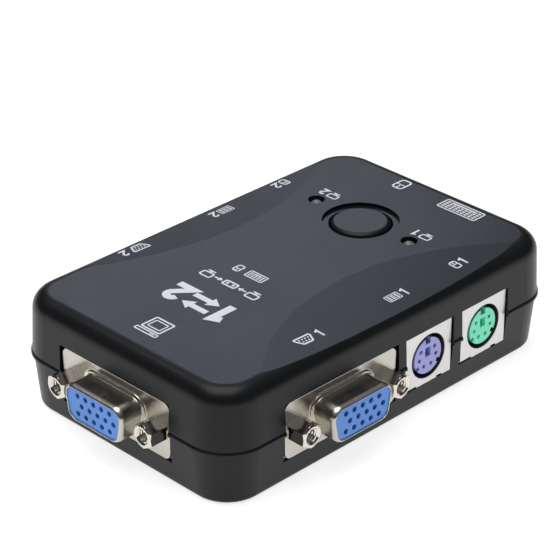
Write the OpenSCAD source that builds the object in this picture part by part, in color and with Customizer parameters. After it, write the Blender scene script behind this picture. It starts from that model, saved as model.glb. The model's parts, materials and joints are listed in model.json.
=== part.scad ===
// Two-computer switch box for one monitor, keyboard and mouse.
// Millimetres. The origin is the middle of the case's underside, on the desk, and +Z is up.
// +X is the long way of the case. The monitor socket is on the -X end, the console's keyboard
// and mouse sockets are on the +X end, computer 1 plugs into the -Y side and computer 2 into +Y.

/* [Case] */
// Length of the case just above the seam
case_l = 95.0; // [93:0.1:98]
// Width of the case just above the seam
case_w = 61.1; // [60:0.1:64]
// Height of the case
case_h = 25.0; // [24.5:0.1:27]
// Corner radius of the case just above the seam, seen from above
corner_r = 9.0; // [8.5:0.5:12]
// Thickness of the moulded walls
wall = 2.0; // [1.6:0.1:2.2]
// Height of the seam between the two covers
seam_z = 11.4; // [10.8:0.1:12]
// How far the lip at the seam stands proud of the walls
seam_lip = 0.3; // [0.2:0.05:0.6]
// How far the upper walls lean in from the seam to the top edge
upper_lean = 0.45; // [0.2:0.05:0.8]
// Radius of the top cover's upper edge
top_round = 3.5; // [2:0.25:4]
// How far the lower walls lean in from the seam to the base
lower_lean = 0.9; // [0.6:0.1:1.4]
// Radius of the base's edge
base_round = 1.3; // [0.8:0.1:1.5]

/* [Top relief] */
// Slope of the two side flanks of the top where they start, in degrees
flank_slope = 3.6; // [2:0.1:4.4]
// Radius of the arc that bounds the flank on the computer 1 side
flank_1_r = 53; // [50:1:60]
// Distance of that arc's nearest point from the middle of the case
flank_1_y = 12.7; // [12:0.1:15]
// Radius of the arc that bounds the flank on the computer 2 side
flank_2_r = 68; // [62:1:78]
// Distance of that arc's nearest point from the middle of the case
flank_2_y = 18.0; // [16:0.1:19]

/* [Push button] */
// Position of the button along the case
button_x = 22.8; // [22:0.1:24]
// Position of the button across the case
button_y = 2.0; // [0:0.1:2.5]
// Diameter of the button cap
cap_d = 12.9; // [12.5:0.1:13]
// Diameter of the hole the cap runs in
button_hole_d = 13.6; // [13.5:0.1:14]
// Diameter of the shallow finger recess round the cap
recess_d = 16.3; // [16:0.1:17]
// Depth of the finger recess
recess_depth = 0.7; // [0.5:0.1:0.9]

/* [Indicators] */
// Position of both indicators along the case
led_x = 23.2; // [22.5:0.1:24]
// Distance of each indicator from the button's middle, across the case
led_gap = 13.2; // [12.5:0.1:13.5]
// Diameter of an indicator's lens
led_d = 3.0; // [2.8:0.1:3]
// Diameter of the hole over an indicator
led_hole_d = 3.6; // [3.4:0.1:3.8]

/* [Sockets] */
// Height of every socket's middle above the desk
socket_z = 11.6; // [11.4:0.05:11.8]
// How far the socket plates sit behind the upper walls
plate_inset = 0.6; // [0.4:0.05:0.7]
// Position of the video sockets on the long sides
video_x = -16.1; // [-17:0.1:-15]
// Position of the monitor socket across the case
monitor_y = 0.7; // [0:0.1:1]
// Position of the keyboard sockets on the long sides
keyboard_x = 8.8; // [8.5:0.1:9.5]
// Position of the mouse sockets on the long sides
mouse_x = 25.4; // [25:0.1:26]
// Distance of the console's two sockets from the case's middle line
console_y = 8.5; // [8:0.1:9]

/* [Hidden] */

// corner-centre rectangle of the case
core_l = case_l - 2 * corner_r;
core_w = case_w - 2 * corner_r;
ceiling_z = case_h - wall;
lower_gap = 0.25;
seam_groove = 0.3;
floor_t = 1.8;

// circuit board
board_z = 3.5;
board_t = 1.6;
board_top = board_z + board_t;
board_l = 87.6;
board_w = 54.2;
board_r = 6.5;
tail_z = 2.5;

// screws that join the covers
screw_x = 38;
screw_y = 22;
screw_r = 1.35;
screw_len = 12;
screw_head_r = 2.6;
screw_head_h = 1.3;
boss_r = 3;
boss_z = 6;
supports = [[-26, 10], [-26, -10], [2, 12], [2, -12], [37, 0]];

// fine-pitch video socket, in its own frame: plate face at y = 0, body at +y
flange_w = 30.8;
flange_h = 12.5;
flange_t = 0.8;
jack_pitch = 24.99;
jack_stud_r = 1.42;
jack_bore_r = 1.42;
jack_hole_r = 1.62;
jack_out = 4.5;
jack_corner_d = 5.5;
dee_w = 16.4;
dee_h = 8.1;
dee_r = 2.5;
dee_lean = 10;
dee_out = 5.8;
dee_t = 0.45;
pin_pitch = 2.29;
pin_row = 1.98;
pin_rows = [[1.98, 0], [0, 1.1], [-1.98, 0]];

// round keyboard and mouse socket, in its own frame: plate face at y = 0, body at +y
din_w = 13.5;
din_h = 12.1;
din_deep = 12.6;
din_t = 0.45;
din_open_r = 4.9;
din_core_r = 3.95;
din_pins = [[-2, 1.45], [2, 1.45], [-2.45, -0.4], [2.45, -0.4], [-1.05, -2.15], [1.05, -2.15]];

// latching multi-pole switch under the button
switch_l = 22;
switch_w = 15;
switch_top = 14.4;
switch_lid_t = 1.3;
well_floor = 6.3;
plunger_z = 11.2;
plunger_t = 1.6;
stem = 5;
spring_r = 2.3;
spring_wire = 0.22;
spring_turns = 4;
stem_top = case_h - 1.65;
cap_bottom = case_h - 5;
collar_bottom = 19.2;
led_base_z = 19.1;
led_body_h = 4.2;
poles = [-8, -6, -4, -2, 0, 2, 4, 6, 8];

socket_y = case_w / 2 - plate_inset;
socket_x = case_l / 2 - plate_inset;

plastic = [0.2, 0.21, 0.23];
nickel = [0.72, 0.7, 0.64];
tin = [0.8, 0.79, 0.77];
blue = [0.3, 0.52, 0.9];
lilac = [0.6, 0.56, 0.86];
mint = [0.45, 0.95, 0.72];
gold = [0.86, 0.68, 0.3];
steel = [0.75, 0.75, 0.75];
board_green = [0.1, 0.38, 0.2];

// ---------- helpers ----------

// A rounded body: the child is the edge's profile, drawn outward from the corner centres.
module edge_wrapped(l, w, z0, z1) {
    for (k = [0 : 3]) {
        along = k % 2 == 0 ? w : l;
        across = k % 2 == 0 ? l : w;
        rotate([0, 0, 90 * k])
            translate([across / 2, 0, 0]) {
                rotate([90, 0, 0])
                    linear_extrude(along, center = true) children(0);
                translate([0, along / 2, 0])
                    rotate_extrude(angle = 90, $fn = 96) children(0);
            }
    }
    translate([-l / 2, -w / 2, z0])
        cube([l, w, z1 - z0]);
}

// A rectangle with true round corners, centred.
module round_rect(l, w, r) {
    square([l - 2 * r, w], center = true);
    square([l, w - 2 * r], center = true);
    for (sx = [-1, 1], sy = [-1, 1])
        translate([sx * (l / 2 - r), sy * (w / 2 - r)])
            circle(r, $fn = 48);
}

// Points of an arc, from angle a0 to a1.
function arc_points(c, r, a0, a1, n) =
    [for (i = [0 : n]) let (a = a0 + (a1 - a0) * i / n) c + r * [cos(a), sin(a)]];

// The D outline, wide edge up, grown by g on every side.
function dee_outline(g) =
    let (
        r = dee_r + g,
        y = dee_h / 2 - dee_r,
        xt = dee_w / 2 - dee_r,
        xb = xt - 2 * y * tan(dee_lean)
    )
    concat(
        arc_points([xt, y], r, -dee_lean, 90, 8),
        arc_points([-xt, y], r, 90, 180 + dee_lean, 8),
        arc_points([-xb, -y], r, 180 + dee_lean, 270, 8),
        arc_points([xb, -y], r, 270, 360 - dee_lean, 8)
    );

// A slab of the D outline from y0 to y1.
module dee_slab(g, y0, y1) {
    translate([0, y1, 0])
        rotate([90, 0, 0])
            linear_extrude(y1 - y0) polygon(dee_outline(g));
}

// A rod along y from y0 to y1.
module rod_y(x, z, r, y0, y1, fn = 24) {
    translate([x, y0, z])
        rotate([-90, 0, 0])
            cylinder(h = y1 - y0, r = r, $fn = fn);
}

// Places its children at a socket's plate face, on one side of the case.
module on_minus_y(x) { translate([x, -socket_y, socket_z]) children(); }
module on_plus_y(x) { translate([x, socket_y, socket_z]) rotate([0, 0, 180]) children(); }
module on_minus_x(y) { translate([-socket_x, y, socket_z]) rotate([0, 0, -90]) children(); }
module on_plus_x(y) { translate([socket_x, y, socket_z]) rotate([0, 0, 90]) children(); }

// Places its children at every video socket, or at every round socket.
module at_video_sockets() {
    on_minus_x(monitor_y) children();
    on_minus_y(video_x) children();
    on_plus_y(video_x) children();
}
module at_round_sockets() {
    for (x = [keyboard_x, mouse_x]) {
        on_minus_y(x) children();
        on_plus_y(x) children();
    }
    for (y = [-console_y, console_y])
        on_plus_x(y) children();
}

// ---------- case ----------

// Outer edge of the top cover: lip at the seam, nearly upright wall, round upper edge.
module top_edge() {
    brow = corner_r - upper_lean;
    polygon([
        [0, seam_z],
        [corner_r + seam_lip - 0.1, seam_z],
        [corner_r + seam_lip, seam_z + 0.12],
        [corner_r + seam_lip, seam_z + 0.6],
        [corner_r, seam_z + 1],
        [brow, case_h - top_round],
        [brow - top_round, case_h],
        [0, case_h]
    ]);
    translate([brow - top_round, case_h - top_round])
        circle(top_round, $fn = 64);
}

// Inner edge of the top cover's hollow.
module top_hollow_edge() {
    polygon([
        [0, seam_z - 1],
        [corner_r - wall, seam_z - 1],
        [corner_r - wall, seam_z + 2],
        [corner_r - wall - upper_lean, ceiling_z - 1],
        [corner_r - wall - upper_lean - 1, ceiling_z],
        [0, ceiling_z]
    ]);
}

// Outer edge of the bottom cover: round edge at the base, leaning wall, groove under the seam.
module bottom_edge() {
    foot = corner_r - lower_gap - lower_lean;
    polygon([
        [0, 0],
        [foot - base_round, 0],
        [foot, base_round],
        [corner_r - lower_gap, seam_z - seam_groove],
        [corner_r - lower_gap - seam_groove, seam_z - seam_groove],
        [corner_r - lower_gap - seam_groove, seam_z],
        [0, seam_z]
    ]);
    translate([foot - base_round, base_round])
        circle(base_round, $fn = 48);
}

// Inner edge of the bottom cover's hollow.
module bottom_hollow_edge() {
    foot = corner_r - lower_gap - lower_lean - wall;
    polygon([
        [0, floor_t],
        [foot, floor_t],
        [corner_r - lower_gap - wall, seam_z],
        [corner_r - lower_gap - wall, seam_z + 4],
        [0, seam_z + 4]
    ]);
}

// One side flank: part of a very large ball that cuts the flat top along an arc. It falls away
// from the arc to the case's edge, steepest where it starts.
module flank_cut(x, y, r) {
    ball_r = r / sin(flank_slope);
    translate([x, y, case_h + ball_r * cos(flank_slope)])
        sphere(ball_r, $fn = 720);
}

// Rectangular cut-outs that the sockets' plates sit in.
module socket_cuts() {
    at_video_sockets()
        translate([-flange_w / 2 - 0.3, -4, -flange_h / 2 - 0.3])
            cube([flange_w + 0.6, 10, flange_h + 0.6]);
    at_round_sockets()
        translate([-din_w / 2 - 0.3, -4, -din_h / 2 - 0.3])
            cube([din_w + 0.6, 10, din_h + 0.6]);
}

module at_screws() {
    for (sx = [-1, 1], sy = [-1, 1])
        translate([sx * screw_x, sy * screw_y, 0]) children();
}

module top_cover() {
    color(plastic)
        difference() {
            union() {
                difference() {
                    edge_wrapped(core_l, core_w, seam_z, case_h) top_edge();
                    edge_wrapped(core_l, core_w, seam_z - 1, ceiling_z) top_hollow_edge();
                    flank_cut(1.5, -flank_1_y - flank_1_r, flank_1_r);
                    flank_cut(3, flank_2_y + flank_2_r, flank_2_r);
                }
                // screw bosses
                at_screws()
                    translate([0, 0, boss_z])
                        cylinder(h = ceiling_z + 0.5 - boss_z, r = boss_r, $fn = 48);
                // collar that guides the button
                translate([button_x, button_y, collar_bottom])
                    cylinder(h = ceiling_z + 0.5 - collar_bottom, d = button_hole_d + 2.2, $fn = 72);
            }
            socket_cuts();
            translate([button_x, button_y, 0])
                cylinder(h = case_h + 1, d = button_hole_d, $fn = 96);
            translate([button_x, button_y, case_h - recess_depth])
                cylinder(h = 5, d = recess_d, $fn = 96);
            for (s = [-1, 1])
                translate([led_x, button_y + s * led_gap, 0])
                    cylinder(h = case_h + 1, d = led_hole_d, $fn = 48);
            at_screws()
                translate([0, 0, boss_z - 1])
                    cylinder(h = 11, r = screw_r + 0.05, $fn = 32);
        }
}

module bottom_cover() {
    color(plastic)
        difference() {
            union() {
                difference() {
                    edge_wrapped(core_l, core_w, 0, seam_z) bottom_edge();
                    edge_wrapped(core_l, core_w, floor_t, seam_z + 4) bottom_hollow_edge();
                }
                // tongue that locates the covers
                difference() {
                    edge_wrapped(core_l, core_w, seam_z - 1.2, seam_z + 1.5) tongue_edge(0.08);
                    edge_wrapped(core_l, core_w, seam_z - 2, seam_z + 2) tongue_edge(0.95);
                }
                // screw posts
                at_screws() cylinder(h = boss_z - 0.1, r = boss_r + 0.6, $fn = 48);
                // board supports
                for (p = supports)
                    translate([p[0], p[1], 1])
                        cylinder(h = board_z - 1, r = 1.6, $fn = 32);
            }
            socket_cuts();
            at_screws() {
                translate([0, 0, -1]) cylinder(h = boss_z + 2, r = screw_r + 0.25, $fn = 32);
                translate([0, 0, -1]) cylinder(h = 3.2, r = screw_head_r + 0.3, $fn = 48);
            }
        }
}

// Edge of the tongue, set in by g from the top cover's inner wall.
module tongue_edge(g) {
    translate([0, seam_z - 2])
        square([corner_r - wall - g, g < 0.5 ? 3.5 : 4.5]);
}

// Pan-head screws driven up from below.
module case_screws() {
    color(steel)
        at_screws()
            translate([0, 0, 2.2])
                difference() {
                    union() {
                        cylinder(h = screw_len, r = screw_r, $fn = 32);
                        translate([0, 0, -screw_head_h])
                            cylinder(h = screw_head_h, r = screw_head_r, $fn = 48);
                    }
                    for (a = [0, 90])
                        rotate([0, 0, a])
                            translate([-1.6, -0.35, -screw_head_h - 1])
                                cube([3.2, 0.7, 1.9]);
                }
}

// ---------- circuit board ----------

// Where each video socket's tails go through the board.
function video_tail_y(row) = 13.2 - 2 * row;

module at_video_tails() {
    for (row = [0 : 2], i = [-2 : 2])
        translate([i * pin_pitch + pin_rows[row][1], video_tail_y(row), 0]) children();
}

// Where each round socket's tails go through the board.
function din_tail_y(i) = i < 2 ? 12.4 : (i < 4 ? 10.1 : 7.6);

module at_din_tails() {
    for (i = [0 : 5])
        translate([din_pins[i][0], din_tail_y(i), 0]) children();
}

module circuit_board() {
    color(board_green)
        difference() {
            translate([0, 0, board_z])
                linear_extrude(board_t) round_rect(board_l, board_w, board_r);
            at_screws() cylinder(h = 10, r = boss_r + 0.9, $fn = 48);
            at_video_sockets()
                at_video_tails()
                    translate([0, 0, -12]) cylinder(h = 10, r = 0.45, $fn = 16);
            at_round_sockets()
                at_din_tails()
                    translate([0, 0, -12]) cylinder(h = 10, r = 0.45, $fn = 16);
            for (s = [-1, 1], t = [-1, 1])
                translate([led_x + t * 1.27, button_y + s * led_gap, 0])
                    cylinder(h = 10, r = 0.45, $fn = 16);
            for (x = poles, s = [-1, 1])
                translate([button_x + x, button_y + s * 5.5, 0])
                    cylinder(h = 10, r = 0.45, $fn = 16);
        }
}

// ---------- indicators ----------

// Clear round-topped lens with its flange under the top cover.
module led_lens(s) {
    translate([led_x, button_y + s * led_gap, led_base_z]) {
        cylinder(h = 1, d = led_d + 0.8, $fn = 40);
        cylinder(h = led_body_h, d = led_d, $fn = 40);
        translate([0, 0, led_body_h]) sphere(d = led_d, $fn = 40);
    }
}

module led_leads(s) {
    for (t = [-1, 1])
        translate([led_x + t * 1.27, button_y + s * led_gap, tail_z])
            cylinder(h = led_base_z - tail_z, r = 0.28, $fn = 16);
}

module led_pc1_lens() { color([0.9, 0.93, 0.95]) led_lens(-1); }
module led_pc2_lens() { color([0.9, 0.93, 0.95]) led_lens(1); }
module led_pc1_leads() { color(steel) led_leads(-1); }
module led_pc2_leads() { color(steel) led_leads(1); }

// ---------- push button and its switch ----------

module at_button() { translate([button_x, button_y, 0]) children(); }

// Cap: round crown edge, skirt, and a square socket for the plunger's stem.
module button_cap() {
    edge = 1.05;
    color(plastic)
        at_button()
            difference() {
                rotate_extrude($fn = 96) {
                    polygon([
                        [0, cap_bottom], [cap_d / 2, cap_bottom],
                        [cap_d / 2, case_h - edge], [cap_d / 2 - edge, case_h], [0, case_h]
                    ]);
                    translate([cap_d / 2 - edge, case_h - edge]) circle(edge, $fn = 32);
                }
                difference() {
                    translate([0, 0, cap_bottom - 1])
                        cylinder(h = stem_top + 1.05 - cap_bottom, d = cap_d - 2.4, $fn = 72);
                    translate([0, 0, cap_bottom])
                        cube([stem + 2.2, stem + 2.2, 20], center = true);
                }
                translate([0, 0, cap_bottom])
                    cube([stem + 0.1, stem + 0.1, 2 * (stem_top + 0.05 - cap_bottom)], center = true);
            }
}

module switch_housing() {
    color([0.12, 0.12, 0.13])
        at_button()
            difference() {
                translate([-switch_l / 2, -switch_w / 2, board_top])
                    cube([switch_l, switch_w, switch_top - switch_lid_t - board_top]);
                translate([-switch_l / 2 + 1, -switch_w / 2 + 1, well_floor])
                    cube([switch_l - 2, switch_w - 2, 20]);
                for (x = poles, s = [-1, 1])
                    translate([x - 0.3, s * 5.5 - 0.22, 0])
                        cube([0.6, 0.44, 10]);
            }
}

// Frame that keeps the plunger in, with a window for the stem.
module switch_lid() {
    color([0.85, 0.83, 0.76])
        at_button()
            difference() {
                translate([-switch_l / 2, -switch_w / 2, switch_top - switch_lid_t])
                    cube([switch_l, switch_w, switch_lid_t]);
                cube([stem + 0.8, stem + 0.8, 40], center = true);
            }
}

module switch_plunger() {
    color([0.92, 0.92, 0.9])
        at_button() {
            translate([-9.5, -4.6, plunger_z])
                cube([19, 9.2, plunger_t]);
            translate([-stem / 2, -stem / 2, plunger_z])
                cube([stem, stem, stem_top - plunger_z]);
        }
}

// Bridging strips on both long edges of the plunger.
module switch_moving_contacts() {
    color(gold)
        at_button()
            for (x = poles, s = [-1, 1])
                translate([x - 0.6, s * 4.78 - 0.18, plunger_z - 1.6])
                    cube([1.2, 0.36, 3]);
}

// Fixed terminals, through the housing's floor and the board.
module switch_terminals() {
    color(gold)
        at_button()
            for (x = poles, s = [-1, 1])
                translate([x - 0.25, s * 5.5 - 0.15, tail_z])
                    cube([0.5, 0.3, well_floor + 3.6 - tail_z]);
}

// Coil spring between the housing's floor and the plunger, swept along a helix.
module switch_return_spring() {
    sides = 8;
    steps = 18;
    count = spring_turns * steps;
    z0 = well_floor + spring_wire;
    rise = plunger_z - well_floor - 2 * spring_wire - 0.05;
    rings = [
        for (i = [0 : count])
            for (j = [0 : sides - 1])
                let (
                    a = 360 * i / steps,
                    b = 360 * j / sides,
                    rad = spring_r + spring_wire * cos(b),
                    z = z0 + rise * i / count + spring_wire * sin(b)
                )
                [rad * cos(a), rad * sin(a), z]
    ];
    skin = [
        for (i = [0 : count - 1])
            for (j = [0 : sides - 1])
                let (k = (j + 1) % sides)
                [i * sides + j, i * sides + k, (i + 1) * sides + k, (i + 1) * sides + j]
    ];
    start = [for (j = [sides - 1 : -1 : 0]) j];
    finish = [for (j = [0 : sides - 1]) count * sides + j];
    color(steel)
        at_button()
            polyhedron(points = rings, faces = concat(skin, [start], [finish]));
}

// ---------- video socket ----------

// Plate with its D-shaped shell, drawn from one sheet.
module video_shell() {
    color(nickel)
        difference() {
            union() {
                translate([0, flange_t, 0])
                    rotate([90, 0, 0])
                        linear_extrude(flange_t) round_rect(flange_w, flange_h, 1.7);
                dee_slab(0.75, -0.45, 0.1);
                dee_slab(0, -dee_out, 0.1);
            }
            dee_slab(-dee_t, -dee_out - 1, flange_t + 1);
            for (s = [-1, 1])
                rod_y(s * jack_pitch / 2, 0, jack_hole_r, -1, 3);
        }
}

// Two angle feet behind the plate, that stand on the board.
module video_bracket() {
    color(nickel)
        for (s = [-1, 1])
            difference() {
                union() {
                    translate([s * jack_pitch / 2 - 2.6, flange_t, board_top - socket_z])
                        cube([5.2, 0.8, 10.5]);
                    translate([s * jack_pitch / 2 - 2.6, flange_t, board_top - socket_z])
                        cube([5.2, 6.5, 0.8]);
                }
                rod_y(s * jack_pitch / 2, 0, jack_hole_r, -1, 3);
            }
}

// Moulded insulator with fifteen contact holes.
module video_insert() {
    color(blue)
        difference() {
            union() {
                dee_slab(-dee_t - 0.04, -dee_out + 0.25, flange_t + 0.1);
                translate([-9.4, flange_t + 0.02, board_top - socket_z])
                    cube([18.8, 7.2, 10.6]);
            }
            for (row = pin_rows, i = [-2 : 2])
                rod_y(i * pin_pitch + row[1], row[0], 0.6, -dee_out - 1, 9);
        }
}

// Fifteen socket contacts with right-angle tails.
module video_contacts() {
    color(gold)
        for (row = [0 : 2], i = [-2 : 2]) {
            x = i * pin_pitch + pin_rows[row][1];
            z = pin_rows[row][0];
            y = video_tail_y(row);
            difference() {
                rod_y(x, z, 0.5, -dee_out + 0.8, y + 0.3);
                rod_y(x, z, 0.3, -dee_out, -1);
            }
            translate([x, y, tail_z - socket_z])
                cylinder(h = z + socket_z - tail_z, r = 0.3, $fn = 16);
        }
}

// Two hexagonal standoff screws with threaded holes.
module video_jackscrews() {
    color(nickel)
        for (s = [-1, 1])
            difference() {
                union() {
                    translate([s * jack_pitch / 2, -jack_out, 0])
                        rotate([-90, 0, 0])
                            rotate([0, 0, 30])
                                cylinder(h = jack_out, d = jack_corner_d, $fn = 6);
                    rod_y(s * jack_pitch / 2, 0, jack_stud_r, -0.3, 5.5);
                }
                rod_y(s * jack_pitch / 2, 0, jack_bore_r, -jack_out - 1, -0.6);
            }
}

module monitor_shell() { on_minus_x(monitor_y) video_shell(); }
module monitor_bracket() { on_minus_x(monitor_y) video_bracket(); }
module monitor_insert() { on_minus_x(monitor_y) video_insert(); }
module monitor_contacts() { on_minus_x(monitor_y) video_contacts(); }
module monitor_jackscrews() { on_minus_x(monitor_y) video_jackscrews(); }
module video_pc1_shell() { on_minus_y(video_x) video_shell(); }
module video_pc1_bracket() { on_minus_y(video_x) video_bracket(); }
module video_pc1_insert() { on_minus_y(video_x) video_insert(); }
module video_pc1_contacts() { on_minus_y(video_x) video_contacts(); }
module video_pc1_jackscrews() { on_minus_y(video_x) video_jackscrews(); }
module video_pc2_shell() { on_plus_y(video_x) video_shell(); }
module video_pc2_bracket() { on_plus_y(video_x) video_bracket(); }
module video_pc2_insert() { on_plus_y(video_x) video_insert(); }
module video_pc2_contacts() { on_plus_y(video_x) video_contacts(); }
module video_pc2_jackscrews() { on_plus_y(video_x) video_jackscrews(); }

// ---------- round socket ----------

// Stamped shield: face plate with a round opening, folded top and sides, feet on the board.
module round_shield() {
    floor_gap = socket_z - board_top - din_h / 2;
    color(tin) {
        difference() {
            translate([-din_w / 2, 0, -din_h / 2])
                cube([din_w, din_deep, din_h]);
            translate([-din_w / 2 + din_t, din_t, -din_h / 2 - 1])
                cube([din_w - 2 * din_t, din_deep, din_h + 1 - din_t]);
            rod_y(0, 0, din_open_r, -1, 2, 64);
            // stepped lower edge of the face plate
            for (x = [-din_w / 2 - 1, 2.6])
                translate([x, -1, -din_h / 2 - 1])
                    cube([x < 0 ? 4.4 : 1.6, 1 + din_t + 0.01, 1.35]);
        }
        for (s = [-1, 1])
            translate([s * (din_w / 2 - din_t / 2) - din_t / 2, 4, -din_h / 2 - floor_gap])
                cube([din_t, 3, floor_gap + 1]);
    }
}

// Moulded insulator: a block with a round groove for the plug's skirt, a keyway and six holes.
module round_insert(tint) {
    block_w = din_w - 2 * din_t - 0.1;
    bottom = board_top - socket_z;
    top = din_h / 2 - din_t - 0.05;
    color(tint)
        difference() {
            union() {
                translate([-block_w / 2, din_t + 0.05, -din_h / 2])
                    cube([block_w, 11.2, top + din_h / 2]);
                translate([-block_w / 2, 3.6, bottom])
                    cube([block_w, 8.1, 1]);
                rod_y(0, 0, din_core_r, 0.15, 4, 64);
            }
            difference() {
                rod_y(0, 0, din_open_r, -1, 8.5, 64);
                rod_y(0, 0, din_core_r, -2, 9, 64);
            }
            // locating notches round the core
            translate([-0.75, -1, 2.7])
                cube([1.5, 8, 3]);
            for (a = [-35, 215])
                rotate([0, -a, 0])
                    translate([3.2, -1, -0.45])
                        cube([2, 8, 0.9]);
            // keyway and pin holes
            translate([-0.8, -1, -0.2])
                cube([1.6, 8, 2.1]);
            for (p = din_pins)
                rod_y(p[0], p[1], 0.46, -1, 13);
            // slots that the tails drop through
            for (i = [2 : 5])
                translate([din_pins[i][0] - 0.35, din_tail_y(i) - 0.35, bottom - 1])
                    cube([0.7, 0.75, din_pins[i][1] + 0.4 - bottom + 1]);
        }
}

// Six socket contacts with right-angle tails.
module round_contacts() {
    color(gold)
        for (i = [0 : 5]) {
            p = din_pins[i];
            y = din_tail_y(i);
            rod_y(p[0], p[1], 0.38, 2.2, y + 0.25);
            translate([p[0], y, tail_z - socket_z])
                cylinder(h = p[1] + socket_z - tail_z, r = 0.26, $fn = 16);
        }
}

module keyboard_pc1_shield() { on_minus_y(keyboard_x) round_shield(); }
module keyboard_pc1_insert() { on_minus_y(keyboard_x) round_insert(lilac); }
module keyboard_pc1_contacts() { on_minus_y(keyboard_x) round_contacts(); }
module mouse_pc1_shield() { on_minus_y(mouse_x) round_shield(); }
module mouse_pc1_insert() { on_minus_y(mouse_x) round_insert(mint); }
module mouse_pc1_contacts() { on_minus_y(mouse_x) round_contacts(); }
module keyboard_pc2_shield() { on_plus_y(keyboard_x) round_shield(); }
module keyboard_pc2_insert() { on_plus_y(keyboard_x) round_insert(lilac); }
module keyboard_pc2_contacts() { on_plus_y(keyboard_x) round_contacts(); }
module mouse_pc2_shield() { on_plus_y(mouse_x) round_shield(); }
module mouse_pc2_insert() { on_plus_y(mouse_x) round_insert(mint); }
module mouse_pc2_contacts() { on_plus_y(mouse_x) round_contacts(); }
module console_keyboard_shield() { on_plus_x(-console_y) round_shield(); }
module console_keyboard_insert() { on_plus_x(-console_y) round_insert(lilac); }
module console_keyboard_contacts() { on_plus_x(-console_y) round_contacts(); }
module console_mouse_shield() { on_plus_x(console_y) round_shield(); }
module console_mouse_insert() { on_plus_x(console_y) round_insert(mint); }
module console_mouse_contacts() { on_plus_x(console_y) round_contacts(); }

top_cover();
bottom_cover();
case_screws();
circuit_board();
led_pc1_lens();
led_pc2_lens();
led_pc1_leads();
led_pc2_leads();
button_cap();
switch_housing();
switch_lid();
switch_plunger();
switch_moving_contacts();
switch_return_spring();
switch_terminals();
monitor_shell();
monitor_bracket();
monitor_insert();
monitor_contacts();
monitor_jackscrews();
video_pc1_shell();
video_pc1_bracket();
video_pc1_insert();
video_pc1_contacts();
video_pc1_jackscrews();
video_pc2_shell();
video_pc2_bracket();
video_pc2_insert();
video_pc2_contacts();
video_pc2_jackscrews();
keyboard_pc1_shield();
keyboard_pc1_insert();
keyboard_pc1_contacts();
mouse_pc1_shield();
mouse_pc1_insert();
mouse_pc1_contacts();
keyboard_pc2_shield();
keyboard_pc2_insert();
keyboard_pc2_contacts();
mouse_pc2_shield();
mouse_pc2_insert();
mouse_pc2_contacts();
console_keyboard_shield();
console_keyboard_insert();
console_keyboard_contacts();
console_mouse_shield();
console_mouse_insert();
console_mouse_contacts();
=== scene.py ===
import json
from math import atan2, ceil, cos, hypot, pi, radians, sin, tan

import bmesh
import bpy
from mathutils import Matrix, Vector
from mathutils.bvhtree import BVHTree
from mathutils.geometry import tessellate_polygon


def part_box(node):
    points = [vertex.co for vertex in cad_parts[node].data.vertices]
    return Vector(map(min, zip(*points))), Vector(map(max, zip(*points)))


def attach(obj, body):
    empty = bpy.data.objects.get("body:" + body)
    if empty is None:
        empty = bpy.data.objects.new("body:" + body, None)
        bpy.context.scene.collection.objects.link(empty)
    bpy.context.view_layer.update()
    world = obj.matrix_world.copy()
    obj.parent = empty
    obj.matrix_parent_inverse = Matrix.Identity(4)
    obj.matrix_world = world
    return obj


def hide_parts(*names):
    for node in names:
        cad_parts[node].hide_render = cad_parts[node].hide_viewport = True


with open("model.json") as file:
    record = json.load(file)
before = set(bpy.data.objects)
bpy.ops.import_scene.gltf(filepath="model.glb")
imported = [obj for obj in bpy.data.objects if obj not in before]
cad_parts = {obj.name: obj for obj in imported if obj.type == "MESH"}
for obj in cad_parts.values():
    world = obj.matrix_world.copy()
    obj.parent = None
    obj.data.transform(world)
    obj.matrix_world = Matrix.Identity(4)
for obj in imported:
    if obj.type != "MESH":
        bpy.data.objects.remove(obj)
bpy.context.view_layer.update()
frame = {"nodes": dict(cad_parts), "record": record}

# The looks of a two-computer switch box. Blender works in metres, and so does every mesh here;
# sizes below are written in millimetres and pass through MM on their way into a mesh.
# The origin is under the middle of the case, +Z is up, +X runs towards the console's sockets.
MM = 0.001
NODES = frame["nodes"]

# Fine-pitch video socket, in its own frame: plate face at y = 0, -y outward, wide edge up.
# The flange is its plate, the dee its D-shaped shell, and a jack one of its standoff screws.
# JACK_EDGE is half of what each flat of a jack's hexagon spans, in degrees.
FLANGE_W = 30.8
FLANGE_H = 12.5
FLANGE_T = 0.8
FLANGE_R = 1.7
DEE_W = 16.4
DEE_H = 8.1
DEE_R = 2.5
DEE_LEAN = radians(10)
DEE_OUT = 5.8
DEE_T = 0.45
JACK_PITCH = 24.99
JACK_OUT = 4.5
JACK_FLATS = 4.76
JACK_FACE_R = 2.1
JACK_EDGE = 29.1
JACK_CHAMFER = radians(30)
JACK_CHAMFER_H = 0.42
JACK_CHAMFER_STEPS = 7
JACK_BORE_R = 1.42
MOUTH_R = 1.72
MOUTH_EDGE = 0.06
MOUTH_DEPTH = 0.32
THREAD_START = 0.38
THREAD_PITCH = 0.635
THREAD_DEPTH = 0.2
THREAD_LENGTH = 3.2
THREAD_STEPS = 12
STUD_END = 5.5

# Round socket, in its own frame: middle of its face at the origin, -y outward.
# A dark sleeve in its ring groove is painted shade, standing in for the groove's deep shadow.
DIN_H = 12.1
DIN_OPEN_R = 4.9
SHADE_SLEEVE_T = 0.12
SHADE_SLEEVE_EDGE = 0.03
SHADE_SLEEVE_GAP = 0.03
SHADE_SLEEVE_START = 0.05
SHADE_SLEEVE_END = 6.5
SHADE_SLEEVE_SIDES = 72

# Printed marks: how far the ink stands up, the longest straight piece of a thin line, the same
# for a wide line in line widths, and the height and line of the numerals beside the sockets.
INK_T = 0.03
INK_STEP = 0.6
MITRE_STEP = 1.6
DIGIT_H = 2.5
DIGIT_LINE = 0.46

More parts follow.
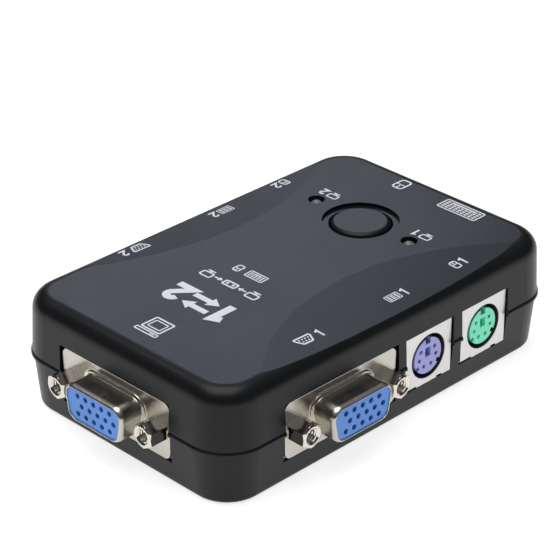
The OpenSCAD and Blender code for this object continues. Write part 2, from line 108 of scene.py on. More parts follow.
# Middles of the marks that stand once on the top, and the degrees they are turned.
MARK_AT = {
    "selector": (-24.8, 0.35, 90),
    "wiring": (-15.4, 1.4, 90),
    "console": (-9.6, 1.7, 90),
    "console_keyboard": (41.1, -9.7, 90),
    "console_mouse": (41.1, 7.1, 90),
    "monitor": (-37.2, -0.55, -90),
}

# Labels that stand once for each computer: place along the case, distance from the middle line
# to either side, and how far the pair sits off that line.
LABEL_AT = {
    "video": (-18.7, 24.95, 1.2),
    "keyboard": (5.6, 25.05, 0.95),
    "mouse": (23.6, 25.2, 0.95),
    "computer": (26.9, 13.15, 1.55),
}

# Broken edges of the sockets' insulators and shields.
INSERT_EDGE = 0.08
SHIELD_EDGE = 0.1

# The floor lies this far below the case, so that the two never share a plane.
FLOOR_GAP = 0.05

# The way each socket faces, turned from -Y.
VIDEO_SOCKETS = {
    "monitor": radians(-90),
    "video_pc1": 0,
    "video_pc2": radians(180),
}
ROUND_SOCKETS = {
    "keyboard_pc1": 0,
    "mouse_pc1": 0,
    "keyboard_pc2": radians(180),
    "mouse_pc2": radians(180),
    "console_keyboard": radians(90),
    "console_mouse": radians(90),
}


# ---------- camera ----------

def make_camera():
    """Product view: from the computer 1 side and the monitor end, 29 degrees above the desk."""
    data = bpy.data.cameras.new("camera")
    data.sensor_width = 36
    data.lens = 148.59
    data.clip_start = 0.01
    data.clip_end = 20
    camera = bpy.data.objects.new("camera", data)
    camera.location = (-0.29073, -0.28813, 0.24725)
    camera.rotation_euler = (radians(90 - 28.986), 0, radians(-44.967))
    bpy.context.scene.collection.objects.link(camera)
    bpy.context.scene.camera = camera


# ---------- node materials ----------

class Finish:
    """A node material being built: its shader, its texture coordinates and its links."""

    def __init__(self, name, **constants):
        self.material = bpy.data.materials.new(name)
        self.material.use_nodes = True
        self.tree = self.material.node_tree
        self.shader = self.tree.nodes["Principled BSDF"]
        self.place = self.tree.nodes.new("ShaderNodeTexCoord").outputs["Object"]
        for key, value in constants.items():
            self.shader.inputs[key.replace("_", " ")].default_value = value

    def node(self, kind, **settings):
        made = self.tree.nodes.new("ShaderNode" + kind)
        for key, value in settings.items():
            setattr(made, key, value)
        return made

    def feed(self, source, socket):
        self.tree.links.new(source, socket)

    def stretched(self, x, y, z):
        """Texture coordinates drawn out along an axis, for rolled and brushed metal."""
        mapping = self.node("Mapping")
        mapping.inputs["Scale"].default_value = (x, y, z)
        self.feed(self.place, mapping.inputs["Vector"])
        return mapping.outputs["Vector"]

    def noise(self, size, detail=2.0, rough=0.5, at=None, warp=0.0):
        """Noise whose features are about size millimetres across."""
        made = self.node("TexNoise")
        made.inputs["Scale"].default_value = 1 / (size * MM)
        made.inputs["Detail"].default_value = detail
        made.inputs["Roughness"].default_value = rough
        made.inputs["Distortion"].default_value = warp
        self.feed(at or self.place, made.inputs["Vector"])
        return made.outputs["Fac"]

    def cells(self, size):
        """Distance to the nearest of many scattered points, about size millimetres apart."""
        made = self.node("TexVoronoi")
        made.inputs["Scale"].default_value = 1 / (size * MM)
        self.feed(self.place, made.inputs["Vector"])
        return made.outputs["Distance"]

    def spread(self, source, low, high, start=0.3, stop=0.7):
        """Maps a texture from start..stop to low..high."""
        made = self.node("MapRange")
        made.inputs["From Min"].default_value = start
        made.inputs["From Max"].default_value = stop
        made.inputs["To Min"].default_value = low
        made.inputs["To Max"].default_value = high
        self.feed(source, made.inputs["Value"])
        return made.outputs["Result"]

    def total(self, a, b):
        made = self.node("Math", operation="ADD")
        self.feed(a, made.inputs[0])
        self.feed(b, made.inputs[1])
        return made.outputs["Value"]

    def tint(self, source, stops):
        """Colours a texture with a ramp of (position, (r, g, b)) stops."""
        made = self.node("ValToRGB")
        ramp = made.color_ramp
        while len(ramp.elements) < len(stops):
            ramp.elements.new(0.5)
        for element, (position, colour) in zip(ramp.elements, stops):
            element.position = position
            element.color = (*colour, 1)
        self.feed(source, made.inputs["Fac"])
        return made.outputs["Color"]

    def blend(self, fac, a, b, mode="MIX"):
        """Mixes colour b into colour a by the texture fac."""
        made = self.node("Mix", data_type="RGBA", blend_type=mode)
        self.feed(fac, made.inputs["Factor"])
        self.feed(a, made.inputs["A"])
        self.feed(b, made.inputs["B"])
        return made.outputs["Result"]

    def colour(self, source):
        self.feed(source, self.shader.inputs["Base Color"])

    def rough(self, source):
        self.feed(source, self.shader.inputs["Roughness"])

    def relief(self, *layers):
        """Stacks bump layers, each a texture and its height in millimetres."""
        under = None
        for source, height in layers:
            bump = self.node("Bump")
            bump.inputs["Strength"].default_value = 1
            bump.inputs["Distance"].default_value = height * MM
            self.feed(source, bump.inputs["Height"])
            if under:
                self.feed(under, bump.inputs["Normal"])
            under = bump.outputs["Normal"]
        self.feed(under, self.shader.inputs["Normal"])


def shade(colour, factor):
    """A lighter or darker version of a colour."""
    return tuple(min(1, c * factor) for c in colour)


def moulded_plastic(name, colour, rough, grain, **shader):
    """Moulded plastic: spark-eroded grain, faint flow patches and uneven gloss.

    grain is the size of the finest marks in millimetres.
    """
    made = Finish(name, **shader)
    fine = made.noise(grain, detail=3, rough=0.6)
    pits = made.cells(grain * 1.6)
    orange_peel = made.noise(grain * 3.2, detail=2, rough=0.6)
    patches = made.noise(9, detail=4, rough=0.55, warp=0.6)
    made.colour(made.tint(patches, [
        (0.3, shade(colour, 0.93)),
        (0.5, colour),
        (0.7, shade(colour, 1.08)),
    ]))
    gloss = made.spread(patches, rough - 0.01, rough + 0.01)
    speck = made.spread(fine, -0.03, 0.04)
    made.rough(made.total(gloss, speck))
    made.relief((orange_peel, grain * 0.05), (pits, grain * 0.012), (fine, grain * 0.022))
    return made.material


def plated_metal(name, colour, rough, stretch):
    """Plated sheet or turned metal: rolling streaks, cloudy tarnish and dark specks.

    stretch draws the streaks out along the axes with small numbers.
    """
    made = Finish(name, Metallic=1.0)
    streaks = made.noise(0.25, detail=3, rough=0.6, at=made.stretched(*stretch))
    clouds = made.noise(3.5, detail=5, rough=0.6, warp=0.8)
    specks = made.cells(0.9)
    plated = made.tint(clouds, [
        (0.28, shade(colour, 0.92)),
        (0.5, colour),
        (0.72, shade(colour, 1.05)),
    ])
    dust = made.tint(specks, [(0.0, shade(colour, 0.7)), (0.12, colour), (1.0, colour)])
    made.colour(made.blend(made.spread(specks, 0.25, 0.0, 0.0, 0.12), plated, dust))
    gloss = made.spread(clouds, rough - 0.02, rough + 0.03)
    made.rough(made.total(gloss, made.spread(streaks, -0.02, 0.02)))
    made.relief((clouds, 0.0005), (streaks, 0.0004))
    return made.material


def printed_ink():
    """Pad-printed white ink: slightly mottled, with pinholes where the grain shows through."""
    made = Finish("printed_ink", Specular_IOR_Level=0.35)
    mottle = made.noise(0.5, detail=4, rough=0.65)
    pinholes = made.cells(0.35)
    ink = made.tint(mottle, [(0.3, (0.8, 0.83, 0.9)), (0.6, (0.9, 0.93, 1.0))])
    gap = made.tint(pinholes, [(0.0, (0.4, 0.42, 0.48)), (0.1, (0.85, 0.88, 0.95))])
    made.colour(made.blend(made.spread(pinholes, 0.7, 0.0, 0.03, 0.12), ink, gap))
    made.rough(made.spread(mottle, 0.42, 0.6))
    made.relief((mottle, 0.006), (made.noise(0.2, detail=2), 0.003))
    return made.material


def clear_epoxy():
    """Water-clear indicator body, faintly clouded, with a moulded ripple; its grey colour is
    painted shade.
    """
    made = Finish("clear_epoxy", IOR=1.53, Transmission_Weight=0.45)
    cloud = made.noise(0.8, detail=3)
    # Painted shade: the grey body colour stands in for the dark hole seen through the clear
    # epoxy.
    made.colour(made.tint(cloud, [(0.3, (0.26, 0.27, 0.26)), (0.7, (0.36, 0.37, 0.35))]))
    made.rough(made.spread(cloud, 0.12, 0.22))
    made.relief((made.noise(1.2, detail=2), 0.01))
    return made.material


def board_mask():
    """Green solder mask over faintly raised copper tracks, over a faint glass weave."""
    made = Finish("board_mask", Coat_Weight=0.3, Coat_Roughness=0.15)
    tracks = made.node("TexBrick")
    tracks.inputs["Scale"].default_value = 1 / (6 * MM)
    tracks.inputs["Mortar Size"].default_value = 0.06
    tracks.inputs["Color1"].default_value = (0.01, 0.09, 0.035, 1)
    tracks.inputs["Color2"].default_value = (0.013, 0.11, 0.045, 1)
    tracks.inputs["Mortar"].default_value = (0.03, 0.22, 0.09, 1)
    made.feed(made.place, tracks.inputs["Vector"])
    weave = made.noise(0.6, detail=4)
    shadow = made.tint(weave, [(0.3, (0.8, 0.8, 0.8)), (0.7, (1, 1, 1))])
    depth = made.spread(weave, 0.4, 0.7)
    made.colour(made.blend(depth, tracks.outputs["Color"], shadow, "MULTIPLY"))
    made.rough(made.spread(weave, 0.3, 0.45))
    made.relief((tracks.outputs["Fac"], 0.03), (weave, 0.01))
    return made.material


def studio_paper():
    """White backdrop that glows a little, so that it comes out near white."""
    made = Finish(
        "studio_paper",
        Specular_IOR_Level=0.2,
        Emission_Color=(1, 1, 1, 1),
        Emission_Strength=0.8,
    )
    fibre = made.noise(2.0, detail=5)
    made.colour(made.tint(fibre, [(0.3, (0.5, 0.5, 0.5)), (0.7, (0.55, 0.55, 0.55))]))
    made.rough(made.spread(fibre, 0.75, 0.9))
    made.relief((fibre, 0.02))
    return made.material


def make_materials():
    """One material for each of the record's slots, by slot name."""
    nickel = (0.51, 0.485, 0.435)
    return {
        "case_plastic": moulded_plastic(
            "case_plastic", (0.0062, 0.0072, 0.0086), 0.34, 0.28, Specular_IOR_Level=0.25
        ),
        "button_plastic": moulded_plastic(
            "button_plastic", (0.008, 0.0082, 0.009), 0.33, 0.22, Specular_IOR_Level=0.25
        ),
        "switch_black": moulded_plastic("switch_black", (0.012, 0.012, 0.013), 0.5, 0.3),
        "switch_white": moulded_plastic("switch_white", (0.75, 0.73, 0.66), 0.45, 0.3),
        "blue_plastic": moulded_plastic("blue_plastic", (0.09, 0.3, 0.84), 0.38, 0.2),
        "lilac_plastic": moulded_plastic("lilac_plastic", (0.41, 0.43, 0.88), 0.4, 0.2),
        "mint_plastic": moulded_plastic("mint_plastic", (0.23, 1.0, 0.68), 0.4, 0.2),
        "nickel_plate": plated_metal("nickel_plate", nickel, 0.24, (0.12, 0.12, 1)),
        "nickel_screw": plated_metal("nickel_screw", (0.66, 0.63, 0.57), 0.13, (1, 1, 1)),
        "tin_plate": plated_metal("tin_plate", (0.67, 0.67, 0.655), 0.42, (0.1, 0.1, 1)),
        "contact_gold": plated_metal("contact_gold", (0.85, 0.62, 0.28), 0.22, (1, 1, 0.1)),
        "screw_steel": plated_metal("screw_steel", (0.5, 0.5, 0.52), 0.3, (1, 1, 1)),
        "spring_steel": plated_metal("spring_steel", (0.55, 0.55, 0.56), 0.28, (1, 1, 1)),
        "tinned_wire": plated_metal("tinned_wire", (0.72, 0.72, 0.72), 0.3, (1, 1, 0.1)),
        "board": board_mask(),
        "led_lens": clear_epoxy(),
    }


# ---------- meshes ----------

def show(name, mesh, material, body="case", stands_for=(), crease=38):
    """Makes a finished mesh a piece of the object, sharp where it bends by more than crease."""
    mesh.materials.append(material)
    mesh.shade_smooth()
    mesh.set_sharp_from_angle(angle=radians(crease))
    piece = bpy.data.objects.new(name, mesh)
    bpy.context.scene.collection.objects.link(piece)
    if stands_for:
        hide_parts(*stands_for)
    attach(piece, body)
    return piece


def weigh_normals(piece):
    """Keeps flat faces flat where they meet narrow rounded ones."""
    normals = piece.modifiers.new("face_weighted_normals", "WEIGHTED_NORMAL")
    normals.keep_sharp = True


def finished(bm, name, place):
    """Closes a bmesh in millimetres and returns it as a mesh in metres, set at its place."""
    bmesh.ops.remove_doubles(bm, verts=bm.verts, dist=1e-5)
    bmesh.ops.recalc_face_normals(bm, faces=bm.faces)
    mesh = bpy.data.meshes.new(name)
    bm.to_mesh(mesh)
    bm.free()
    mesh.transform(place @ Matrix.Scale(MM, 4))
    return mesh


def ring(bm, points):
    """New vertices at the given points."""
    return [bm.verts.new(p) for p in points]


def skin(bm, rings):
    """Quads between neighbouring closed rings of equal length."""
    for a, b in zip(rings, rings[1:]):
        for i in range(len(a)):
            j = (i + 1) % len(a)
            bm.faces.new((a[i], a[j], b[j], b[i]))


def cap_between(bm, outer, inner):
    """A flat face between two rings, one inside the other."""
    verts = outer + inner
    loops = [[v.co for v in outer], [v.co for v in inner]]
    for a, b, c in tessellate_polygon(loops):
        bm.faces.new((verts[a], verts[b], verts[c]))


def arc(cx, cy, r, start, stop, steps):
    """Points along part of a circle, both ends included."""
    angles = [start + (stop - start) * i / steps for i in range(steps + 1)]
    return [(cx + r * cos(a), cy + r * sin(a)) for a in angles]


def dee_outline(grow):
    """The video socket's D, wide edge up, grown on every side."""
    r = DEE_R + grow
    z = DEE_H / 2 - DEE_R
    top = DEE_W / 2 - DEE_R
    low = top - 2 * z * tan(DEE_LEAN)
    return (
        arc(top, z, r, -DEE_LEAN, pi / 2, 12)
        + arc(-top, z, r, pi / 2, pi + DEE_LEAN, 12)
        + arc(-low, -z, r, pi + DEE_LEAN, 3 * pi / 2, 12)
        + arc(low, -z, r, 3 * pi / 2, 2 * pi - DEE_LEAN, 12)
    )


def round_rect(w, h, r, inset):
    """A rectangle with round corners, drawn in by inset all round."""
    x = w / 2 - r
    z = h / 2 - r
    r = r - inset
    return (
        arc(x, z, r, 0, pi / 2, 8)
        + arc(-x, z, r, pi / 2, pi, 8)
        + arc(-x, -z, r, pi, 3 * pi / 2, 8)
        + arc(x, -z, r, 3 * pi / 2, 2 * pi, 8)
    )


def at_depth(outline, y):
    """Stands a flat outline up in the plane of the socket's face, at depth y."""
    return [(x, y, z) for x, z in outline]


def video_place(node, turn):
    """A video socket's own frame in the row frame, from its plate's box in the CAD."""
    low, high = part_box(node)
    middle = (low + high) / 2
    outward = Matrix.Rotation(turn, 3, "Z") @ Vector((0, -1, 0))
    for axis in range(2):
        if abs(outward[axis]) > 0.5:
            back = low[axis] if outward[axis] > 0 else high[axis]
            middle[axis] = back + FLANGE_T * MM * outward[axis]
    return Matrix.Translation(middle) @ Matrix.Rotation(turn, 4, "Z")


# ---------- video sockets ----------

def video_shell(socket, place, material):
    """Plate and D-shaped shell drawn from one sheet: raised collar, upright wall, rolled lip."""
    # The sheet's section from the collar's foot, out over the lip and back inside: how far
    # outside the D, and y. The plate's edge is given the same way: how far inside, and y.
    drawn = [
        (0.9, 0.0), (0.76, -0.03), (0.66, -0.12), (0.61, -0.24), (0.54, -0.34), (0.43, -0.39),
        (0.3, -0.4), (0.16, -0.43), (0.05, -0.52), (0.0, -0.7), (0.0, -4.6), (-0.02, -4.9),
        (-0.07, -5.17), (-0.15, -5.41), (-0.26, -5.61), (-0.39, -5.75), (-0.5, -DEE_OUT),
        (-0.58, -5.77), (-0.62, -5.69), (-0.6, -5.57), (-0.52, -5.56), (-DEE_T, -5.4),
        (-DEE_T, FLANGE_T),
    ]
    edge = [(0.14, 0.0), (0.04, 0.04), (0.0, 0.14), (0.0, FLANGE_T)]
    bm = bmesh.new()
    dee = [ring(bm, at_depth(dee_outline(g), y)) for g, y in drawn]
    rim = [
        ring(bm, at_depth(round_rect(FLANGE_W, FLANGE_H, FLANGE_R, g), y)) for g, y in edge
    ]
    skin(bm, dee)
    skin(bm, rim)
    cap_between(bm, rim[0], dee[0])
    cap_between(bm, rim[-1], dee[-1])
    name = socket + "_drawn_shell"
    piece = show(
        name, finished(bm, name, place), material,
        stands_for=[socket + "_shell"],
    )
    weigh_normals(piece)


def hex_radius(angle):
    """Half-width of a standoff's hexagon, corners up and down, its edges just broken."""
    off = (angle + pi / 6) % (pi / 3) - pi / 6
    return min(JACK_FLATS / 2 / cos(off), JACK_FLATS / 2 / cos(radians(JACK_EDGE)))


def hex_angles():
    """Directions round a hexagon, closest together at its edges."""
    flat = [-JACK_EDGE, -24, -16, -8, 0, 8, 16, 24, JACK_EDGE]
    return [radians(60 * k + a) for k in range(6) for a in flat]


def turned(bm, angles, radius, y):
    """A ring about the y axis; radius is a number, or a function of the angle."""
    radii = [radius(a) if callable(radius) else radius for a in angles]
    return [bm.verts.new((r * cos(a), y, r * sin(a))) for r, a in zip(radii, angles)]


def standoff_outside(bm, angles):
    """Outside of a standoff, from its hidden stud to the rim of its threaded hole."""
    end = -JACK_OUT
    rings = [
        turned(bm, angles, JACK_BORE_R, STUD_END),
        turned(bm, angles, JACK_BORE_R, 0.0),
        turned(bm, angles, hex_radius, 0.0),
    ]
    for step in range(JACK_CHAMFER_STEPS, -1, -1):
        depth = JACK_CHAMFER_H * step / JACK_CHAMFER_STEPS
        limit = JACK_FACE_R + depth / tan(JACK_CHAMFER)
        rings.append(turned(bm, angles, lambda a: min(hex_radius(a), limit), end + depth))
    rings.append(turned(bm, angles, MOUTH_R + MOUTH_EDGE, end))
    rings.append(turned(bm, angles, MOUTH_R, end + 0.04))
    rings.append(turned(bm, angles, JACK_BORE_R, end + MOUTH_DEPTH))
    bm.faces.new(rings[0])
    skin(bm, rings)
    return rings[-1]


def standoff_thread(bm, angles, mouth):
    """Helical thread inside a standoff, down to the bottom of its hole."""
    rings = [mouth]
    for i in range(int(THREAD_LENGTH / THREAD_PITCH * THREAD_STEPS)):
        y = -JACK_OUT + THREAD_START + i * THREAD_PITCH / THREAD_STEPS

        def thread_radius(angle):
            turn = (y / THREAD_PITCH + angle / (2 * pi)) % 1
            height = min(1, max(0, 1.5 - 3 * abs(turn - 0.5)))
            return JACK_BORE_R - THREAD_DEPTH * height

        rings.append(turned(bm, angles, thread_radius, y))
    skin(bm, rings)
    bm.faces.new(rings[-1])


def video_standoffs(socket, place, material):
    """Both hexagonal standoffs of a video socket."""
    bm = bmesh.new()
    angles = hex_angles()
    for side in (-1, 1):
        first = len(bm.verts)
        mouth = standoff_outside(bm, angles)
        standoff_thread(bm, angles, mouth)
        bm.verts.ensure_lookup_table()
        for vert in bm.verts[first:]:
            vert.co.x += side * JACK_PITCH / 2
    name = socket + "_standoffs"
    piece = show(
        name, finished(bm, name, place), material,
        stands_for=[socket + "_jackscrews"], crease=24,
    )
    weigh_normals(piece)


def make_video_sockets(materials):
    for socket, turn in VIDEO_SOCKETS.items():
        place = video_place(socket + "_shell", turn)
        video_shell(socket, place, materials["nickel_plate"])
        video_standoffs(socket, place, materials["nickel_screw"])


# ---------- round sockets ----------

def round_place(node, turn):
    """A round socket's own frame in the row frame, from its shield's box in the CAD."""
    low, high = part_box(node)
    middle = (low + high) / 2
    outward = Matrix.Rotation(turn, 3, "Z") @ Vector((0, -1, 0))
    for axis in range(2):
        if abs(outward[axis]) > 0.5:
            middle[axis] = high[axis] if outward[axis] > 0 else low[axis]
    middle.z = high.z - DIN_H / 2 * MM
    return Matrix.Translation(middle) @ Matrix.Rotation(turn, 4, "Z")


def groove_shade_sleeve(socket, place, material):
    """Painted shade: a dark sleeve against the outer wall of the ring groove that takes the
    plug's skirt.
    """
    outer = DIN_OPEN_R - SHADE_SLEEVE_GAP
    inner = outer - SHADE_SLEEVE_T
    shoulder = SHADE_SLEEVE_START + 0.05
    profile = [
        (outer, SHADE_SLEEVE_END), (outer, shoulder), (outer - SHADE_SLEEVE_EDGE, SHADE_SLEEVE_START),
        (inner + SHADE_SLEEVE_EDGE, SHADE_SLEEVE_START), (inner, shoulder), (inner, SHADE_SLEEVE_END),
    ]
    angles = [2 * pi * k / SHADE_SLEEVE_SIDES for k in range(SHADE_SLEEVE_SIDES)]
    bm = bmesh.new()
    rings = [turned(bm, angles, r, y) for r, y in profile]
    skin(bm, rings + rings[:1])
    name = socket + "_groove_shade_sleeve"
    show(name, finished(bm, name, place), material)


def make_round_sockets(materials):
    for socket, turn in ROUND_SOCKETS.items():
        place = round_place(socket + "_shield", turn)
        # Painted shade: a dark sleeve in the ring groove, in place of the groove's deep shadow.
        groove_shade_sleeve(socket, place, materials["switch_black"])


# ---------- softened CAD nodes ----------

def soften(node, width):
    """Breaks a CAD node's sharp edges by width millimetres."""
    piece = NODES[node]
    planar = piece.modifiers.new("merge_flats", "DECIMATE")
    planar.decimate_type = "DISSOLVE"
    planar.angle_limit = radians(0.5)
    bevel = piece.modifiers.new("broken_edges", "BEVEL")
    bevel.limit_method = "ANGLE"
    bevel.angle_limit = radians(35)
    bevel.width = width * MM
    bevel.segments = 2
    bevel.harden_normals = True
    bevel.use_clamp_overlap = True


def dress_cad_nodes(materials):
    """Gives every CAD node the finish of its slot in the record."""
    for part in frame["record"]["subparts"]:
        slots = NODES[part["node"]].data.materials
        slots.clear()
        slots.append(materials[part["material_slot"]])


def soften_cad_nodes():
    for socket in VIDEO_SOCKETS:
        soften(socket + "_insert", INSERT_EDGE)
    for socket in ROUND_SOCKETS:
        soften(socket + "_shield", SHIELD_EDGE)
        soften(socket + "_insert", INSERT_EDGE)


# ---------- printed marks ----------

TOP_SURFACE = BVHTree.FromPolygons(
    [v.co for v in NODES["top_cover"].data.vertices],
    [p.vertices for p in NODES["top_cover"].data.polygons],
)


def top_height(x, y):
    """Height of the top cover at a place, in millimetres."""
    hit = TOP_SURFACE.ray_cast(Vector((x * MM, y * MM, 0.05)), Vector((0, 0, -1)))[0]
    return hit.z / MM


def refined(path, width, closed):
    """The same path with its long segments cut up, so that it can follow the surface.

    The pieces of a wide line stay long enough for the mitres at its corners.
    """
    step = max(INK_STEP, MITRE_STEP * width)
    ends = path[1:] + path[:1] if closed else path[1:]
    made = []
    for (ax, ay), (bx, by) in zip(path, ends):
        steps = max(1, ceil(hypot(bx - ax, by - ay) / step))
        made += [(ax + (bx - ax) * i / steps, ay + (by - ay) * i / steps) for i in range(steps)]
    return made if closed else made + [path[-1]]


def stroke(path, width, closed=False):
    """A line of ink: quads between the two offsets of a path, mitred at its corners."""
    path = refined(path, width, closed)
    count = len(path)
    rails = []
    for i, (x, y) in enumerate(path):
        before = path[i - 1] if closed or i else path[0]
        after = path[(i + 1) % count] if closed or i < count - 1 else path[-1]
        a_in = atan2(y - before[1], x - before[0]) if before != (x, y) else None
        a_out = atan2(after[1] - y, after[0] - x) if after != (x, y) else None
        a_in = a_out if a_in is None else a_in
        a_out = a_in if a_out is None else a_out
        half = ((a_out - a_in + pi) % (2 * pi) - pi) / 2
        reach = width / 2 / max(0.35, cos(half))
        nx, ny = -sin(a_in + half) * reach, cos(a_in + half) * reach
        rails.append(((x + nx, y + ny), (x - nx, y - ny)))
    pairs = zip(rails, rails[1:] + (rails[:1] if closed else []))
    return [(a[0], b[0], b[1], a[1]) for a, b in pairs]


def dot(x, y, r, sides=12):
    """A round spot of ink."""
    turns = [2 * pi * i / sides for i in range(sides)]
    return [tuple((x + r * cos(a), y + r * sin(a)) for a in turns)]


def block(x, y, w, h):
    """A solid rectangle of ink."""
    left, right = x - w / 2, x + w / 2
    low, high = y - h / 2, y + h / 2
    return [((left, low), (right, low), (right, high), (left, high))]


def moved(faces, dx, dy=0.0):
    """The same ink, shifted."""
    return [tuple((x + dx, y + dy) for x, y in face) for face in faces]


def one(h, w):
    """A numeral 1, h high, in a line w wide."""
    return stroke([(-0.24 * h, 0.24 * h), (0.04 * h, 0.5 * h - w / 2), (0.04 * h, -0.5 * h)], w)


def two(h, w):
    """A numeral 2, h high, in a line w wide."""
    r = 0.3 * h - w / 2
    bowl = arc(0, 0.5 * h - w / 2 - r, r, radians(170), radians(-30), 10)
    return stroke(bowl + [(-0.28 * h, -0.5 * h + w / 2), (0.34 * h, -0.5 * h + w / 2)], w)


def rounded_box(w, h, r, line):
    """The outline of a box with round corners."""
    x, y = w / 2 - r - line / 2, h / 2 - r - line / 2
    corners = [(x, y, 0), (-x, y, 90), (-x, -y, 180), (x, -y, 270)]
    path = []
    for cx, cy, a in corners:
        path += arc(cx, cy, r, radians(a), radians(a + 90), 3)
    return stroke(path, line, closed=True)


def video_mark(w, h, line):
    """The D of a video socket and its contacts."""
    x, y = w / 2 - line, h / 2 - line / 2
    slant = h * 0.26
    path = [
        (x, y), (-x, y), (-x - line / 3, y - line), (-x + slant, -y + line / 3),
        (-x + slant + line / 2, -y), (x - slant - line / 2, -y), (x - slant, -y + line / 3),
        (x + line / 3, y - line),
    ]
    made = stroke(path, line, closed=True)
    for row, count in ((0.14, 4), (-0.16, 3)):
        for i in range(count):
            made += dot((i - (count - 1) / 2) * w * 0.165, row * h, h * 0.085, 8)
    return made


def keyboard_mark(w, h, line, columns, rows=2):
    """A keyboard: its outline, rows of keys and a space bar."""
    made = rounded_box(w, h, line, line)
    inner_w, inner_h = w - 3.2 * line, h - 3.2 * line
    key_w, key_h = inner_w / columns, inner_h / (rows + 1)
    for row in range(rows):
        y = (rows / 2 - row) * key_h
        for i in range(columns):
            x = (i - (columns - 1) / 2) * key_w
            made += block(x, y, key_w * 0.7, key_h * 0.66)
    for side in (-1, 1):
        made += block(side * (inner_w - key_w) / 2, -rows / 2 * key_h, key_w * 0.7, key_h * 0.66)
    made += block(0, -rows / 2 * key_h, inner_w - 2.3 * key_w, key_h * 0.66)
    return made


def mouse_mark(w, h, line):
    """A mouse seen from above: its outline, its buttons' parting line and its wheel."""
    made = rounded_box(w, h, 0.24 * w, line)
    made += block(0, h * 0.04, w - 1.6 * line, line * 0.7)
    return made + block(0, h * 0.26, line * 0.8, h * 0.26)


def screen_mark(w, h, line):
    """A monitor on its foot."""
    made = moved(rounded_box(w, h * 0.74, line, line), 0, h * 0.13)
    made += block(0, -h * 0.31, w * 0.18, h * 0.1)
    made += block(0, -h * 0.43, w * 0.62, h * 0.13)
    return made


def workstation_mark(w, h, line):
    """A square monitor with its bezel, and the base unit it stands on."""
    made = moved(rounded_box(w * 0.86, h * 0.76, line * 0.6, line), 0, h * 0.12)
    made += moved(rounded_box(w * 0.58, h * 0.46, line * 0.5, line * 0.7), 0, h * 0.12)
    made += moved(rounded_box(w, h * 0.2, line * 0.5, line * 0.8), 0, -h * 0.4)
    return made + block(w * 0.26, -h * 0.4, w * 0.2, line * 0.5)


def arrow_mark(length, h, line, heading):
    """A straight arrow that points along heading, +1 or -1."""
    tip = heading * length / 2
    neck = tip - heading * h * 0.8
    tail = -tip
    return [
        ((tip, 0), (neck, h / 2), (neck, -h / 2)),
        ((neck, line / 2), (tail, line / 2), (tail, -line / 2), (neck, -line / 2)),
    ]


def print_mark(name, faces, x, y, turn, ink):
    """Lays a flat mark on the top cover, turned about its middle by turn degrees."""
    bm = bmesh.new()
    c, s = cos(radians(turn)), sin(radians(turn))
    for face in faces:
        corners = []
        for u, v in face:
            px, py = x + u * c - v * s, y + u * s + v * c
            corners.append(bm.verts.new((px, py, top_height(px, py) + INK_T)))
        bm.faces.new(corners)
    bmesh.ops.remove_doubles(bm, verts=bm.verts, dist=1e-4)
    rim = [e for e in bm.edges if e.is_boundary]
    made = bmesh.ops.extrude_edge_only(bm, edges=rim)["geom"]
    for vert in made:
        if isinstance(vert, bmesh.types.BMVert):
            vert.co.z -= 2 * INK_T
    show(name, finished(bm, name, Matrix.Identity(4)), ink)


def selector_mark():
    """The two computers' numerals with an arrow each way between them."""
    made = moved(one(7.0, 1.9), -6.3) + moved(two(7.0, 1.7), 6.2)
    made += moved(arrow_mark(7.0, 3.3, 1.4, 1), -0.4, 1.75)
    return made + moved(arrow_mark(7.0, 3.3, 1.4, -1), -0.4, -1.75)


def wiring_mark():
    """Two computers, each with an arrow to the switch box between them."""
    made = moved(screen_mark(3.2, 2.8, 0.4), -6.4) + moved(screen_mark(3.2, 2.8, 0.4), 6.4)
    made += rounded_box(3.8, 2.0, 0.3, 0.44) + dot(-0.8, 0, 0.36) + dot(0.8, 0, 0.36)
    made += moved(arrow_mark(2.2, 1.3, 0.4, 1), -3.3)
    return made + moved(arrow_mark(2.2, 1.3, 0.4, -1), 3.3)


def make_prints():
    """Generic marks: a numeral for each computer and a pictogram for each socket."""
    ink = printed_ink()
    for number, digit, side, turn in (
        (1, one(DIGIT_H, DIGIT_LINE), -1, 0),
        (2, two(DIGIT_H, DIGIT_LINE), 1, 180),
    ):
        labels = {
            "video": moved(video_mark(4.7, 2.6, 0.4), -1.3) + moved(digit, 2.7),
            "keyboard": moved(keyboard_mark(3.7, 2.3, 0.22, 3), -1.2) + moved(digit, 2.0),
            "mouse": moved(mouse_mark(1.9, 2.7, 0.34), -0.9) + moved(digit, 1.4),
            "computer": moved(screen_mark(2.8, 2.5, 0.34), -1.0) + moved(digit, 1.9),
        }
        for kind, label in labels.items():
            along, out, shift = LABEL_AT[kind]
            heading = 90 if kind == "computer" else turn
            print_mark(f"print_{kind}_{number}", label, along, side * out + shift, heading, ink)
    keys, mouse = keyboard_mark(5.0, 2.6, 0.3, 5), mouse_mark(1.9, 2.7, 0.34)
    marks = {
        "selector": selector_mark(),
        "wiring": wiring_mark(),
        "console": moved(keys, -1.7) + moved(mouse, 3.3),
        "console_keyboard": keyboard_mark(10.5, 4.2, 0.36, 9, 3),
        "console_mouse": mouse_mark(3.0, 4.3, 0.42),
        "monitor": workstation_mark(6.2, 6.0, 0.42),
    }
    for name, mark in marks.items():
        x, y, turn = MARK_AT[name]
        print_mark("print_" + name, mark, x, y, turn, ink)


# ---------- stage ----------

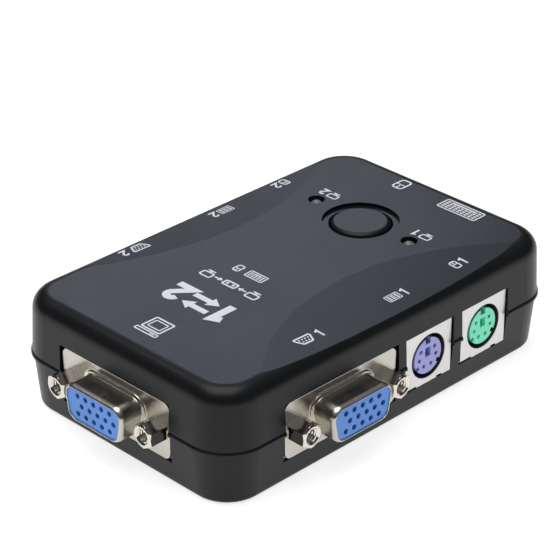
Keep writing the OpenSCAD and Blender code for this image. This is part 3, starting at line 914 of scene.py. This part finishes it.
def make_floor():
    bm = bmesh.new()
    bmesh.ops.create_grid(bm, x_segments=4, y_segments=4, size=3)
    mesh = bpy.data.meshes.new("floor")
    bm.to_mesh(mesh)
    bm.free()
    mesh.materials.append(studio_paper())
    floor = bpy.data.objects.new("floor", mesh)
    floor.location.z = -FLOOR_GAP * MM
    bpy.context.scene.collection.objects.link(floor)


def area_light(name, place, size, power, colour):
    """A soft rectangular light that faces the object."""
    data = bpy.data.lights.new(name, "AREA")
    data.shape = "RECTANGLE"
    data.size, data.size_y = size
    data.energy = power
    data.color = colour
    light = bpy.data.objects.new(name, data)
    light.location = place
    light.rotation_euler = (-Vector(place)).to_track_quat("-Z", "Y").to_euler()
    light.visible_camera = False
    bpy.context.scene.collection.objects.link(light)


def make_lights():
    area_light("overhead", (-0.1, 0.1, 1.1), (1.0, 1.0), 9, (1.0, 0.98, 0.96))
    area_light("back", (0.69, 0.79, 0.63), (0.46, 0.15), 1.38, (0.77, 0.83, 1.0))


def make_world():
    """Dim room: dark at the horizon, soft grey overhead."""
    world = bpy.data.worlds.new("room")
    world.use_nodes = True
    tree = world.node_tree
    direction = tree.nodes.new("ShaderNodeTexCoord")
    parts = tree.nodes.new("ShaderNodeSeparateXYZ")
    ramp = tree.nodes.new("ShaderNodeValToRGB")
    ramp.color_ramp.elements[0].position = 0.3
    ramp.color_ramp.elements[0].color = (0.05, 0.042, 0.037, 1)
    ramp.color_ramp.elements[1].position = 0.9
    ramp.color_ramp.elements[1].color = (0.25, 0.26, 0.28, 1)
    background = tree.nodes["Background"]
    tree.links.new(direction.outputs["Generated"], parts.inputs["Vector"])
    tree.links.new(parts.outputs["Z"], ramp.inputs["Fac"])
    tree.links.new(ramp.outputs["Color"], background.inputs["Color"])
    bpy.context.scene.world = world


def make_stage():
    make_floor()
    make_lights()
    make_world()
    bpy.context.scene.view_settings.view_transform = "Standard"


make_camera()
MATERIALS = make_materials()
dress_cad_nodes(MATERIALS)
soften_cad_nodes()
make_video_sockets(MATERIALS)
make_round_sockets(MATERIALS)
make_prints()
make_stage()
